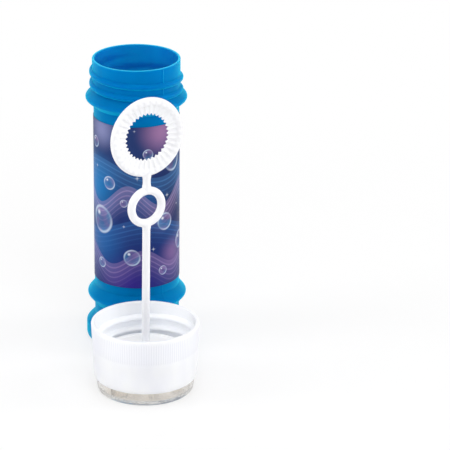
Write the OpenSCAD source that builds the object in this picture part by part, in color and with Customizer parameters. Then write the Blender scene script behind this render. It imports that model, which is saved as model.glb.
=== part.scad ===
// Bubble wand set: a blown bottle with a printed sleeve, and its screw cap, taken off and stood
// on its clear puzzle window so that the wand points up.
// Millimetres, +Z up. The origin is the middle of the bottle's foot. The cap stands on the -Y side.

/* [Bottle] */
// Height of the bottle from foot to lip
bottle_h = 108.7; // [102:0.1:118]
// Outer radius of the straight body
body_r = 15.6; // [15.5:0.05:16.6]
// Wall thickness of the blown bottle
bottle_wall = 0.9; // [0.7:0.05:0.95]
// Outer radius of the foot
foot_r = 18.7; // [18.2:0.05:21]
// Height of the foot's straight side
foot_side_h = 6; // [5:0.1:7.6]
// Height of the slope from the foot's side up to the body
foot_slope_h = 3.8; // [3.2:0.1:4.8]
// Radius of the foot's lower edge
foot_edge_r = 2.8; // [1.5:0.1:3.4]
// Step from the foot's side in to the lower bead's crest
low_bead_step = 0.5; // [0:0.05:0.8]
// Height of the lower bead's crest
low_bead_z = 17.9; // [17.4:0.1:22]
// Height of each slope of the lower bead
low_bead_slope_h = 3.6; // [3:0.1:5]
// Step from the foot's side in to the collar bead's crest
collar_step = 0.2; // [0:0.05:1.2]
// Drop from the lip to the collar's crest
collar_drop = 14.6; // [14:0.1:18]
// Height of each slope of the collar
collar_slope_h = 3; // [2.6:0.1:4.4]
// Radius of the rounded crest of the foot and the beads
bead_nose_r = 1.25; // [1:0.05:2]

/* [Neck and thread] */
// Outer radius of the neck
neck_r = 16.05; // [15.8:0.05:17]
// Radius of the lip's edges
lip_edge_r = 0.3; // [0.15:0.05:0.35]
// Rise of the thread in one turn
thread_pitch = 4.4; // [3.8:0.1:4.8]
// Turns of thread
thread_turns = 1.9; // [1:0.1:2]
// How far the thread stands out of the wall
thread_depth = 1.05; // [0.7:0.05:1.2]
// Width of the thread at the wall
thread_foot_w = 2.6; // [1.8:0.1:3]
// Width of the thread at its crest
thread_crest_w = 0.7; // [0.4:0.1:1.2]
// Drop from the lip to where the neck's thread starts
thread_drop = 4; // [3.4:0.1:5]
// Drop from the cap's rim to where the cap's thread starts
cap_thread_drop = 3.6; // [3:0.1:4.2]
// Hand of the thread on the neck and in the cap
left_hand_thread = true; // [true, false]

/* [Printed sleeve] */
// Thickness of the film
sleeve_t = 0.14; // [0.1:0.02:0.4]
// Bare body below the sleeve
sleeve_low_margin = 3.3; // [0.5:0.1:6]
// Bare body above the sleeve
sleeve_top_margin = 3.9; // [0.5:0.1:8]

/* [Cap] */
// Height of the cap from its window to its rim
cap_h = 25.5; // [24.6:0.1:30]
// Depth from the rim to the roof inside
cap_depth = 13.2; // [12:0.1:14]
// Wall thickness of the cap at its rim
cap_wall = 1.5; // [1.2:0.1:2.2]
// Clearance between the crest of the neck's thread and the cap's wall
thread_clear = 0.8; // [0.4:0.05:1]
// Radius that the cap loses from its rim to its shoulder
cap_draft = 0.8; // [0.2:0.1:1.2]
// Radius that the rounded shoulder takes off
shoulder_in = 0.7; // [0.4:0.1:1.1]
// Height of the rounded shoulder
shoulder_h = 3.2; // [1.6:0.1:5]
// Radius of the rim's outer edge
rim_edge_r = 0.5; // [0.2:0.05:0.8]
// Thickness of the roof
roof_t = 1.6; // [1.2:0.1:2]
// Width of the shell's end face round the lens
cap_lip_w = 1.6; // [1.2:0.1:1.8]
// Radius of the boss that takes the wand
boss_r = 3.5; // [2.6:0.1:5]
// Thickness under the wand's socket
socket_floor_t = 1.4; // [0.8:0.1:1.8]

/* [Seal disc] */
// How far the disc stands proud of the roof
seal_rise = 2.4; // [1.2:0.1:3]
// Depth of the disc's seat in the roof
seal_seat = 0.5; // [0.2:0.1:0.8]
// Clearance of the disc in the neck
seal_clear = 0.15; // [0.05:0.05:0.4]
// Radius of the disc's upper edge
seal_edge_r = 0.6; // [0.2:0.1:1]

/* [Wand] */
// Radius of the stem
stem_r = 1.4; // [1.1:0.05:2]
// Reach from the cap's roof to the middle of the small ring
stem_reach = 56.9; // [50:0.1:60]
// Distance between the middles of the two rings
rings_apart = 26; // [24:0.1:28]
// Outer radius of the big ring
ring_r = 14.45; // [13:0.05:14.6]
// Radius of the big ring's hole at its tooth tips
ring_hole_r = 8.05; // [6.5:0.05:9]
// Radius of the round bar that forms the big ring's rim
ring_bar_r = 1.5; // [1.3:0.05:2]
// Thickness of the ribs at the middle of the rim
rib_t = 2.5; // [2:0.1:2.5]
// Thickness of the web between the ribs at the middle of the rim
web_t = 1.2; // [0.9:0.1:1.6]
// Thickness that the ribs and the web taper to, one tooth's length inside the tooth tips
taper_t = 0.5; // [0.3:0.05:0.8]
// How far the teeth stand into the hole
tooth_len = 0.8; // [0.4:0.1:1.2]
// Ribs round the big ring
rib_n = 34; // [28:1:48]
// Outer radius of the small ring, a round bar bent to a hoop
small_r = 7.5; // [6.5:0.05:8.5]
// Radius of the small ring's hole
small_hole_r = 4.6; // [3.5:0.05:5]

/* [Puzzle lens] */
// Height of the clear band below the shell
band_h = 5; // [4.6:0.1:5.4]
// Step from the shell's end in to the lens
lens_step = 0.1; // [0.05:0.05:0.4]
// Radius that the band loses down to the window
band_draft = 0.8; // [0.3:0.1:1.2]
// Radius of the window's edge
window_edge_r = 1; // [0.4:0.1:1.4]
// Height of the lens's spigot inside the shell
spigot_h = 4; // [2.4:0.1:4.4]
// Wall thickness of the spigot
spigot_wall = 1.25; // [0.9:0.05:1.4]
// Thickness of the window
window_t = 1.2; // [1:0.1:1.5]
// Height of the ball chamber
chamber_h = 4.2; // [3.8:0.1:4.6]
// Width of the ledge that carries the chamber's floor plate
ledge_w = 0.6; // [0.4:0.05:0.8]
// Thickness of the chamber's floor plate
plate_t = 1.2; // [0.8:0.1:1.5]
// Inner radius of the ball cups
cup_r = 2.5; // [2:0.05:2.6]
// Wall thickness of the ball cups
cup_wall = 0.7; // [0.5:0.05:0.9]
// Room between the cups and the floor plate
cup_clear = 0.6; // [0.3:0.1:1]
// Radius of the circle of the inner cups
inner_cup_place = 4; // [3.4:0.05:4.2]
// Radius of the circle of the outer cups
outer_cup_place = 10.6; // [10.2:0.05:11]
// Radius of the circle of the pips
pip_place = 10.2; // [10.1:0.05:11]
// Radius of a pip
pip_r = 0.5; // [0.3:0.05:0.6]
// Radius of the balls
ball_r = 1.25; // [0.8:0.05:1.35]

/* [Layout] */
// Distance from the bottle's axis to the cap's axis
cap_stand = 48; // [44:0.5:80]
// Turn of the wand's rings about the cap's axis, from facing -Y
wand_turn = 26.5; // [-90:0.1:90]
// Lean of the wand in its socket, towards +X
wand_lean = 0.5; // [0:0.1:0.8]
// Turn of the puzzle about the cap's axis
puzzle_turn = -53; // [-180:1:180]
// Turn of the first ball from the first outer cup
ball_turn = 78; // [70:1:110]

/* [Hidden] */
$fn = 96;

// Overrun of cuts, and overlap of shapes that are joined in one piece
lap = 0.2;
// Clearances of pieces that are pressed or slipped together
sleeve_clear = 0.03;
stem_clear = 0.05;
stem_floor_clear = 0.05;
seat_clear = 0.05;
spigot_clear = 0.05;
plate_clear = 0.1;
ball_clear = 0.15;
// Clearance between the cap's thread and the neck's wall
cap_thread_clear = 0.3;
// How far a thread's foot is sunk into its wall
thread_sink = 0.45;
// Steps in a quarter round, and in a turn of thread
arc_steps = 5;
thread_steps = 36;
// Where the threads start round the neck and round the cap, in degrees from +X
neck_thread_start = 90;
cap_thread_start = -90;
// Half width of the thread between foot and crest, and its height there, as shares
thread_mid_w_share = 0.66;
thread_mid_h_share = 0.72;
// Length of the thread's run-out as a share of a turn, and its height at the tip
thread_fade_turn_share = 0.14;
thread_tip_h_share = 0.08;
// Width of a rib at its tip and at the rim, as shares of the rib spacing
rib_tip_share = 0.22;
rib_rim_share = 0.52;
// Opening of the inner and the outer cups, in degrees
inner_cup_gap = 90;
outer_cup_gap = 180;
cup_n = 3;

// Bottle
low_bead_r = foot_r - low_bead_step;
collar_r = foot_r - collar_step;
bore_r = neck_r - bottle_wall;
collar_z = bottle_h - collar_drop;
sleeve_z = low_bead_z + low_bead_slope_h + sleeve_low_margin;
sleeve_top_z = collar_z - collar_slope_h - sleeve_top_margin;
sleeve_in_r = body_r + sleeve_clear;

// Cap radii, from the neck outwards and back in to the lens
thread_crest_r = neck_r + thread_depth;
cap_bore_r = thread_crest_r + thread_clear;
cap_thread_r = neck_r + cap_thread_clear;
rim_r = cap_bore_r + cap_wall;
shoulder_r = rim_r - cap_draft;
cap_end_r = shoulder_r - shoulder_in;
recess_r = cap_end_r - cap_lip_w;
seal_r = bore_r - seal_clear;
socket_r = stem_r + stem_clear;

// Cap heights, with the window at zero
roof_z = cap_h - cap_depth;
roof_back_z = roof_z - roof_t;
seal_z = roof_z - seal_seat;
seal_top_z = roof_z + seal_rise;
plate_z = window_t + chamber_h;
plate_top_z = plate_z + plate_t;
socket_z = plate_top_z + socket_floor_t;
small_z = roof_z + stem_reach;
ring_z = small_z + rings_apart;
ring_mid_r = ring_r - ring_bar_r;

// Lens radii
band_top_r = cap_end_r - lens_step;
window_r = band_top_r - band_draft;
spigot_r = recess_r - spigot_clear;
plate_seat_r = spigot_r - spigot_wall;
chamber_r = plate_seat_r - ledge_w;
cup_out_r = cup_r + cup_wall;
cup_h = chamber_h - cup_clear;

// The balls' track runs midway between the inner cups' tips and the pips
inner_tip_x = inner_cup_place + cup_out_r * cos(inner_cup_gap / 2);
inner_tip_y = cup_out_r * sin(inner_cup_gap / 2);
inner_tip_r = norm([inner_tip_x, inner_tip_y]);
track_r = (inner_tip_r + pip_place - pip_r) / 2;
ball_z = window_t + ball_clear + ball_r;

// Points of an arc about a middle point
function arc(mid, r, from, to) =
  [for (i = [0:arc_steps]) let (a = from + (to - from) * i / arc_steps) mid + r * [cos(a), sin(a)]];

function reversed(points) = [for (i = [len(points) - 1:-1:0]) points[i]];

// Upper half of a bead from its crest to the wall, moved inwards by inset.
// The rounded nose runs tangent into a straight slope.
function slope_angle(base_r, crest_r, rise) =
  let (run = crest_r - bead_nose_r - base_r)
  atan2(rise, run) - asin(bead_nose_r / norm([run, rise]));

function half_bead(base_r, crest_r, rise, inset) =
  let (a = slope_angle(base_r, crest_r, rise))
  concat(
    arc([crest_r - bead_nose_r, 0], bead_nose_r - inset, 0, 90 - a),
    [[base_r - inset, rise - inset * (1 - sin(a)) / cos(a)]]
  );

function above(z, points) = [for (p = points) [p[0], z + p[1]]];

// The mirror half leaves out the crest point, which the upper half holds
function below(z, points) = [for (i = [len(points) - 1:-1:1]) [points[i][0], z - points[i][1]]];

// Outline of the bottle's wall from the foot to the neck, moved inwards by inset
function wall_outline(inset) = concat(
  arc([foot_r - foot_edge_r, foot_edge_r], foot_edge_r - inset, -90, 0),
  above(foot_side_h, half_bead(body_r, foot_r, foot_slope_h, inset)),
  below(low_bead_z, half_bead(body_r, low_bead_r, low_bead_slope_h, inset)),
  above(low_bead_z, half_bead(body_r, low_bead_r, low_bead_slope_h, inset)),
  below(collar_z, half_bead(body_r, collar_r, collar_slope_h, inset)),
  above(collar_z, half_bead(neck_r, collar_r, collar_slope_h, inset))
);

function lip_outline() = concat(
  arc([neck_r - lip_edge_r, bottle_h - lip_edge_r], lip_edge_r, 0, 90),
  arc([bore_r + lip_edge_r, bottle_h - lip_edge_r], lip_edge_r, 90, 180)
);

// Outline of the web's hole: pointed teeth and the notches between them
function toothed_hole(tip_r, notch_r) =
  [for (i = [0:2 * rib_n - 1])
    let (a = 180 * i / rib_n, r = i % 2 == 0 ? tip_r : notch_r)
    r * [cos(a), sin(a)]];

// Outline between the ribs: a rib's tip, then the groove beside it
function ribbed_hole(tip_r, groove_r) =
  let (half_step = 180 / rib_n)
  [for (i = [0:rib_n - 1])
    let (a = 2 * half_step * i)
    for (p = [
      [tip_r, a - rib_tip_share * half_step],
      [tip_r, a + rib_tip_share * half_step],
      [groove_r, a + rib_rim_share * half_step],
      [groove_r, a + (2 - rib_rim_share) * half_step]
    ])
    p[0] * [cos(p[1]), sin(p[1])]];

// One helical ridge from the sunk foot_r to crest_r, faded out at both ends.
// It starts at top_z, turned by start from +X, and falls.
module thread_ridge(foot_r, crest_r, top_z, start) {
  steps = round(thread_turns * thread_steps);
  fade_steps = thread_fade_turn_share * thread_steps;
  hand = left_hand_thread ? 1 : -1;
  half_section = [
    [0, thread_foot_w / 2],
    [thread_mid_h_share, thread_mid_w_share * thread_foot_w / 2],
    [1, thread_crest_w / 2]
  ];
  section = concat(
    [for (p = half_section) [p[0], -p[1]]],
    reversed(half_section)
  );
  n = len(section);
  function fade(i) = max(thread_tip_h_share, min(1, i / fade_steps, (steps - i) / fade_steps));
  function section_r(i, p) = foot_r + (crest_r - foot_r) * fade(i) * p[0];
  points = [for (i = [0:steps])
    let (a = start + hand * 360 * i / thread_steps)
    let (z = top_z - thread_pitch * i / thread_steps)
    for (p = section)
    [section_r(i, p) * cos(a), section_r(i, p) * sin(a), z + p[1]]];
  sides = [for (i = [0:steps - 1], k = [0:n - 1])
    let (a = n * i + k, b = n * i + (k + 1) % n)
    each [[a, b, b + n], [a, b + n, a + n]]];
  start_face = [for (k = [1:n - 2]) [0, k + 1, k]];
  end_face = [for (k = [1:n - 2]) [n * steps, n * steps + k, n * steps + k + 1]];
  faces = concat(sides, start_face, end_face);
  inside_out = (crest_r > foot_r) != left_hand_thread;
  polyhedron(points, inside_out ? [for (f = faces) reversed(f)] : faces);
}

// Places its children on the cap's axis
module at_cap() {
  translate([0, -cap_stand, 0]) children();
}

module bottle() {
  color([0.02, 0.42, 0.78]) {
    rotate_extrude()
      polygon(concat([[0, 0]], wall_outline(0), lip_outline(), reversed(wall_outline(bottle_wall)),
                     [[0, bottle_wall]]));
    thread_ridge(neck_r - thread_sink, thread_crest_r, bottle_h - thread_drop, neck_thread_start);
  }
}

module print_sleeve() {
  color([0.2, 0.2, 0.45])
    translate([0, 0, sleeve_z])
      rotate_extrude()
        translate([sleeve_in_r, 0])
          square([sleeve_t, sleeve_top_z - sleeve_z]);
}

module cap_shell() {
  shoulder = [for (i = [0:arc_steps])
    let (a = 90 * i / arc_steps)
    [cap_end_r + shoulder_in * sin(a), band_h + shoulder_h * (1 - cos(a))]];
  color([0.95, 0.95, 0.97])
    at_cap() {
      rotate_extrude()
        polygon(concat(
          shoulder,
          arc([rim_r - rim_edge_r, cap_h - rim_edge_r], rim_edge_r, 0, 90),
          [
            [cap_bore_r, cap_h],
            [cap_bore_r, roof_z],
            [seal_r + seat_clear, roof_z],
            [seal_r + seat_clear, seal_z],
            [socket_r, seal_z],
            [socket_r, socket_z],
            [0, socket_z],
            [0, plate_top_z],
            [boss_r, plate_top_z],
            [boss_r, roof_back_z],
            [recess_r, roof_back_z],
            [recess_r, band_h]
          ]
        ));
      thread_ridge(cap_bore_r + thread_sink, cap_thread_r, cap_h - cap_thread_drop, cap_thread_start);
    }
}

module seal_disc() {
  color([0.9, 0.9, 0.92])
    at_cap()
      rotate_extrude()
        polygon(concat(
          [[socket_r, seal_z], [seal_r, seal_z]],
          arc([seal_r - seal_edge_r, seal_top_z - seal_edge_r], seal_edge_r, 0, 90),
          [[socket_r, seal_top_z]]
        ));
}

// A hoop of round bar about the Z axis
module hoop(mid_r, bar_r) {
  rotate_extrude() translate([mid_r, 0]) circle(bar_r);
}

// The part of a disc outside a hole's outline. It thins from rim_t at the rim towards its middle.
module tapered_disc(rim_t, hole) {
  intersection() {
    rotate_extrude()
      polygon([
        [ring_hole_r - tooth_len, -taper_t / 2],
        [ring_mid_r, -rim_t / 2],
        [ring_mid_r, rim_t / 2],
        [ring_hole_r - tooth_len, taper_t / 2]
      ]);
    linear_extrude(rim_t + lap, center = true)
      difference() {
        circle(ring_r);
        polygon(hole);
      }
  }
}

// A smooth rim, a thin web with a toothed hole inside it, and ribs that cross the web to the teeth
module big_ring() {
  hoop(ring_mid_r, ring_bar_r);
  tapered_disc(rib_t, ribbed_hole(ring_hole_r, ring_mid_r - lap));
  tapered_disc(web_t, toothed_hole(ring_hole_r, ring_hole_r + tooth_len));
}

module wand() {
  small_mid_r = (small_r + small_hole_r) / 2;
  stem_z = socket_z + stem_floor_clear;
  // The wand leans about the middle of its socket
  lean_z = (socket_z + seal_top_z) / 2;
  color([1, 1, 1])
    at_cap()
      translate([0, 0, lean_z])
        rotate([0, wand_lean, 0])
          translate([0, 0, -lean_z])
            rotate([0, 0, wand_turn]) {
              translate([0, 0, stem_z]) cylinder(r = stem_r, h = small_z - small_mid_r - stem_z);
              translate([0, 0, small_z + small_mid_r])
                cylinder(r = stem_r, h = rings_apart - small_mid_r - ring_mid_r);
              translate([0, 0, small_z])
                rotate([90, 0, 0])
                  hoop(small_mid_r, (small_r - small_hole_r) / 2);
              translate([0, 0, ring_z]) rotate([90, 0, 0]) big_ring();
            }
}

// A ball cup: a round wall with a gap that faces +X
module ball_cup(gap) {
  rotate([0, 0, gap / 2])
    rotate_extrude(angle = 360 - gap)
      translate([cup_r, 0])
        square([cup_wall, cup_h + lap]);
}

module puzzle_cups() {
  for (i = [0:cup_n - 1]) {
    rotate([0, 0, 360 * i / cup_n]) {
      translate([outer_cup_place, 0, 0]) rotate([0, 0, 180]) ball_cup(outer_cup_gap);
      translate([outer_cup_place + cup_r, -cup_wall / 2, 0])
        cube([chamber_r + lap - outer_cup_place - cup_r, cup_wall, cup_h + lap]);
    }
    rotate([0, 0, 360 * (i + 1 / 2) / cup_n]) {
      translate([inner_cup_place, 0, 0]) ball_cup(inner_cup_gap);
      translate([pip_place, 0, 0]) cylinder(r = pip_r, h = cup_h + lap, $fn = 32);
    }
  }
}

module puzzle_lens() {
  color([0.85, 0.83, 0.8, 0.5])
    at_cap() {
      rotate_extrude()
        polygon(concat(
          [[0, 0]],
          arc([window_r - window_edge_r, window_edge_r], window_edge_r, -90, 0),
          [
            [band_top_r, band_h],
            [spigot_r, band_h],
            [spigot_r, band_h + spigot_h],
            [plate_seat_r, band_h + spigot_h],
            [plate_seat_r, plate_z],
            [chamber_r, plate_z],
            [chamber_r, window_t],
            [0, window_t]
          ]
        ));
      translate([0, 0, window_t - lap]) rotate([0, 0, puzzle_turn - 90]) puzzle_cups();
    }
}

module puzzle_floor() {
  color([0.88, 0.86, 0.84])
    at_cap()
      translate([0, 0, plate_z]) cylinder(r = plate_seat_r - plate_clear, h = plate_t);
}

// A loose ball on its track, turned from the first outer cup
module puzzle_ball(turn) {
  color([0.55, 0.56, 0.58])
    at_cap()
      rotate([0, 0, puzzle_turn - 90 + turn])
        translate([track_r, 0, ball_z]) sphere(ball_r);
}

module ball_1() {
  puzzle_ball(ball_turn);
}

module ball_2() {
  puzzle_ball(ball_turn + 180);
}

bottle();
print_sleeve();
cap_shell();
seal_disc();
wand();
puzzle_lens();
puzzle_floor();
ball_1();
ball_2();
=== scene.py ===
"""Looks of the bubble wand set: an open bottle with a printed sleeve and, in front of it, the bottle's
screw cap, stood upside down so that its wand points up."""
import math

import bmesh
import bpy
from mathutils import Matrix, Vector


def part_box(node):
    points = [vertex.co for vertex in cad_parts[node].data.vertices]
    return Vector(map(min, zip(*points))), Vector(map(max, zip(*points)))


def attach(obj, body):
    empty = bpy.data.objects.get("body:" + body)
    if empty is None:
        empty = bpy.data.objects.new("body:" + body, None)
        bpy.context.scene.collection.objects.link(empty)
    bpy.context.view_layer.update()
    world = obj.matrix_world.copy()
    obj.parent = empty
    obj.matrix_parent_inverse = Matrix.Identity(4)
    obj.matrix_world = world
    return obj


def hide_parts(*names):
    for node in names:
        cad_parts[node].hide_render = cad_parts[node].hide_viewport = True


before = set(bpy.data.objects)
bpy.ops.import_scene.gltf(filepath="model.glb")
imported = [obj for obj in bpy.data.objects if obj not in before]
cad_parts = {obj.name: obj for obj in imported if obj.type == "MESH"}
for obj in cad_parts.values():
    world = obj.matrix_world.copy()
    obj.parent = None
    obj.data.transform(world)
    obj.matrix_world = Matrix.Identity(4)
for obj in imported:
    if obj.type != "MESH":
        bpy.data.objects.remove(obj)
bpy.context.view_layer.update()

# The object's sizes are in millimetres, and the frame and the stage are in metres
MM = 0.001
TAU = 2 * math.pi
QUARTER_TURN = math.pi / 2

# Lengths that differ by less than this count as the same
CLOSE = 0.001
# Points nearer to each other than this become one where parts are united
WELD = 0.002
# How far united parts sink into each other
SINK = 0.2
# Share of a stretch that the fillet at one of its ends may take
FILLET_SHARE = 0.499
FILLET_STEPS = 7
# Edges that turn by more degrees than this are shaded sharp
SHARP_ANGLE = 40


# Sizes: the outermost ones come from the frame

def box_mm(node):
    """Lowest and highest corner of a CAD node, in millimetres."""
    low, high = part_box(node)
    return low / MM, high / MM


BOTTLE_HIGH = box_mm("bottle")[1]
SLEEVE_LOW, SLEEVE_HIGH = box_mm("print_sleeve")
CAP_LOW, CAP_HIGH = box_mm("cap_shell")
SEAL_LOW, SEAL_HIGH = box_mm("seal_disc")
WAND_HIGH = box_mm("wand")[1]
LENS_HIGH = box_mm("puzzle_lens")[1]
PLATE_LOW, PLATE_HIGH = box_mm("puzzle_floor")

# Bottle
BOTTLE_H = BOTTLE_HIGH.z
FOOT_R = BOTTLE_HIGH.x
WALL = 0.9
BODY_R = 15.6
NECK_R = 16.05
FOOT_SIDE_H = 6.0
FOOT_SLOPE_H = 3.8
FOOT_EDGE_R = 2.8
LOW_BEAD_STEP = 0.5
LOW_BEAD_R = FOOT_R - LOW_BEAD_STEP
LOW_BEAD_Z = 17.9
LOW_BEAD_SLOPE_H = 3.6
COLLAR_STEP = 0.2
COLLAR_R = FOOT_R - COLLAR_STEP
COLLAR_DROP = 14.6
COLLAR_Z = BOTTLE_H - COLLAR_DROP
COLLAR_SLOPE_H = 3.0
NOSE_R = 1.25
VALLEY_R = 0.4
LIP_EDGE_R = 0.35
PUSH_UP_R = 12.0
PUSH_UP_H = 0.6
PUSH_UP_SLOPE = 2.0
PUSH_UP_EDGE_R = 1.2
BOTTLE_COLUMNS = 288
# Column of the front parting line, counted from +X
SEAM_COLUMN = -46
SEAM_H = 0.07
SEAM_NECK_H = 0.28
# No parting line nearer than this to the foot's radius, so that it stays inside the CAD box
SEAM_CLEAR = 0.09

# Threads
THREAD_PITCH = 4.4
THREAD_TURNS = 1.9
THREAD_HALF_W = 1.15
# Share of a turn in which the thread fades out at each end
THREAD_FADE_SHARE = 0.14
# Powers that round the thread's flanks and its crest
THREAD_FLANK_POWER = 2.6
THREAD_CREST_POWER = 0.85
NECK_THREAD_DEPTH = 1.05
NECK_THREAD_DROP = 4.0
NECK_THREAD_TOP = BOTTLE_H - NECK_THREAD_DROP
NECK_THREAD_START = math.radians(90)
NECK_ROW_H = 0.17

# Sleeve
SLEEVE_CLEAR = 0.03
SLEEVE_IN_R = BODY_R + SLEEVE_CLEAR
SLEEVE_OUT_R = SLEEVE_HIGH.x
SLEEVE_EDGE_R = 0.06
SLEEVE_EDGE_STEPS = 3
SLEEVE_START = math.radians(90)
SLEEVE_LAP_W = 5.0
SLEEVE_LAP_H = 0.09

# Cap
CAP_Y = (CAP_LOW.y + CAP_HIGH.y) / 2
CAP_AXIS = (0.0, CAP_Y)
RIM_R = CAP_HIGH.x
RIM_Z = CAP_HIGH.z
RIM_EDGE_R = 0.5
BAND_Z = CAP_LOW.z
CAP_WALL = 1.5
CAP_BORE_R = RIM_R - CAP_WALL
BORE_EDGE_R = 0.25
CAP_DRAFT = 0.8
SHOULDER_R = RIM_R - CAP_DRAFT
SHOULDER_H = 3.2
SHOULDER_IN = 0.7
SHOULDER_STEPS = 10
CAP_END_R = SHOULDER_R - SHOULDER_IN
CAP_DEPTH = 13.2
ROOF_Z = RIM_Z - CAP_DEPTH
ROOF_T = 1.6
ROOF_BACK_Z = ROOF_Z - ROOF_T
ROOF_FILLET = 0.4
CAP_LIP_W = 1.6
RECESS_R = CAP_END_R - CAP_LIP_W
RECESS_EDGE_R = 0.15
RECESS_FILLET = 0.3
BOSS_R = 3.5
BOSS_EDGE_R = 0.2
BOSS_FILLET = 0.5
SOCKET_R = 1.45
SOCKET_FLOOR_T = 1.4
SOCKET_Z = PLATE_HIGH.z + SOCKET_FLOOR_T
CAP_THREAD_DEPTH = 1.5
CAP_THREAD_DROP = 3.6
CAP_THREAD_TOP = RIM_Z - CAP_THREAD_DROP
CAP_THREAD_START = math.radians(-90)
CAP_ROW_H = 0.2
GRIP_RIBS = 138
COLUMNS_PER_GRIP_RIB = 4
GRIP_RIB_H = 0.18
GRIP_LOW_DROP = 9.5
GRIP_LOW_Z = RIM_Z - GRIP_LOW_DROP
GRIP_TOP_DROP = 0.9
GRIP_TOP_Z = RIM_Z - GRIP_TOP_DROP
GRIP_FADE = 0.9

# Seal disc, with a dished face between its rim and the hub round the wand
SEAL_R = SEAL_HIGH.x
SEAL_SEAT_CLEAR = 0.05
SEAL_SEAT_R = SEAL_R + SEAL_SEAT_CLEAR
SEAL_SEAT_EDGE_R = 0.05
SEAL_EDGE_R = 0.6
SEAL_FOOT_EDGE_R = 0.3
SEAL_BORE_EDGE_R = 0.1
SEAL_RIM_W = 1.6
SEAL_RIM_SLOPE = 0.3
SEAL_RIM_FILLET = 0.2
SEAL_HUB_W = 1.2
SEAL_HUB_SLOPE = 0.4
SEAL_HUB_FILLET = 0.3
SEAL_DISH = 0.25
SEAL_COLUMNS = 192

# Wand
RING_R = 14.45
RING_BAR_R = 1.5
RIM_MID_R = RING_R - RING_BAR_R
RIM_FILLET = 0.35
RIM_STEPS = 12
RING_HOLE_R = 8.05
RIB_N = 34
COLUMNS_PER_RIB = 12
RIB_STEPS = 18
RIB_T = 2.5
WEB_T = 1.2
TAPER_T = 0.5
TOOTH_LEN = 0.8
TOOTH_EDGE = 0.1
# A rib's width at its tip and at the rim, as shares of the way from one rib to the next
RIB_TIP_SHARE = 0.22
RIB_RIM_SHARE = 0.52
# How far a rib's flank reaches inside and outside that width
FLANK_IN_SHARE = 0.14
FLANK_OUT_SHARE = 0.26
# Where the grooves between the ribs run out over the rim
FLUTE_DEPTH = 0.3
FLUTE_END_SHARE = 0.75
SMALL_R = 7.5
SMALL_HOLE_R = 4.6
SMALL_BAR_R = (SMALL_R - SMALL_HOLE_R) / 2
SMALL_MID_R = (SMALL_R + SMALL_HOLE_R) / 2
SMALL_BAR_STEPS = 40
SMALL_COLUMNS = 120
STEM_R = 1.4
STEM_EDGE_R = 0.3
STEM_COLUMNS = 64
STEM_FLARE = 0.2
STEM_FLARE_H = 1.2
STEM_FLARE_FILLET = 1.4
STEM_FLOOR_CLEAR = 0.05
RINGS_APART = 26.0
RING_Z = WAND_HIGH.z - RING_R
SMALL_Z = RING_Z - RINGS_APART
WAND_TURN = math.radians(26.5)
WAND_LEAN = math.radians(0.5)
# The wand leans about the middle of its socket
LEAN_Z = (SOCKET_Z + SEAL_HIGH.z) / 2
WAND_SHARP_ANGLE = 50

# Puzzle lens
BAND_TOP_R = LENS_HIGH.x
BAND_DRAFT = 0.8
WINDOW_R = BAND_TOP_R - BAND_DRAFT
WINDOW_EDGE_R = 1.0
WINDOW_T = 1.2
SPIGOT_CLEAR = 0.05
SPIGOT_R = RECESS_R - SPIGOT_CLEAR
SPIGOT_TOP_Z = LENS_HIGH.z
SPIGOT_WALL = 1.25
SPIGOT_EDGE_R = 0.2
PLATE_SEAT_R = SPIGOT_R - SPIGOT_WALL
LEDGE_W = 0.6
CHAMBER_R = PLATE_SEAT_R - LEDGE_W
CHAMBER_FILLET = 0.4
LENS_EDGE_R = 0.15
LENS_FILLET = 0.1
LENS_COLUMNS = 192
LENS_SHARP_ANGLE = 35
PUZZLE_TURN = math.radians(-143)
CUP_N = 3
CUP_R = 2.5
CUP_WALL = 0.7
CUP_H = 3.6
CUP_EDGE_R = 0.15
CUP_EDGE_STEPS = 3
CUP_COLUMNS = 40
INNER_CUP_PLACE = 4.0
INNER_CUP_GAP = math.radians(90)
OUTER_CUP_PLACE = 10.6
OUTER_CUP_GAP = math.radians(180)
PIP_PLACE = 10.2
PIP_R = 0.5
PIP_COLUMNS = 32

# Floor plate and balls
PLATE_R = PLATE_HIGH.x
PLATE_EDGE_R = 0.15
PLATE_EDGE_STEPS = 4
PLATE_COLUMNS = 144
BALL_ROWS = 24
BALL_COLUMNS = 48


# Outlines

def rounded(corners, steps=FILLET_STEPS, loop=False):
    """An outline through (radius, height, fillet) corners, with an arc in place of each filleted corner."""
    points = []
    count = len(corners)
    for i, (x, y, fillet) in enumerate(corners):
        corner = Vector((x, y))
        at_end = not loop and i in (0, count - 1)
        if fillet <= 0 or at_end:
            points.append(corner)
            continue
        back = Vector(corners[i - 1][:2]) - corner
        ahead = Vector(corners[(i + 1) % count][:2]) - corner
        u, v = back.normalized(), ahead.normalized()
        half = u.angle(v) / 2
        reach = min(fillet / math.tan(half), back.length * FILLET_SHARE, ahead.length * FILLET_SHARE)
        radius = reach * math.tan(half)
        middle = corner + (u + v).normalized() * (radius / math.sin(half))
        first = corner + u * reach - middle
        last = corner + v * reach - middle
        start = math.atan2(first.y, first.x)
        turn = math.atan2(last.y, last.x) - start
        turn = (turn + math.pi) % TAU - math.pi
        angles = [start + turn * k / steps for k in range(steps + 1)]
        points += [middle + radius * Vector((math.cos(a), math.sin(a))) for a in angles]
    return points


def with_rows(points, step, low, high):
    """Splits the steep stretches of an outline between two heights into rows no taller than step."""
    out = [points[0]]
    for a, b in zip(points, points[1:]):
        inside = low <= min(a.y, b.y) and max(a.y, b.y) <= high
        pieces = max(1, math.ceil(abs(b.y - a.y) / step)) if inside else 1
        out += [a.lerp(b, k / pieces) for k in range(1, pieces + 1)]
    return out


def inset(points, depth):
    """An outline moved to its left-hand side by depth."""
    out = []
    for i, point in enumerate(points):
        ahead = points[min(i + 1, len(points) - 1)] - points[max(i - 1, 0)]
        ahead.normalize()
        out.append(point + depth * Vector((-ahead.y, ahead.x)))
    return out


# Meshes

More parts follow.
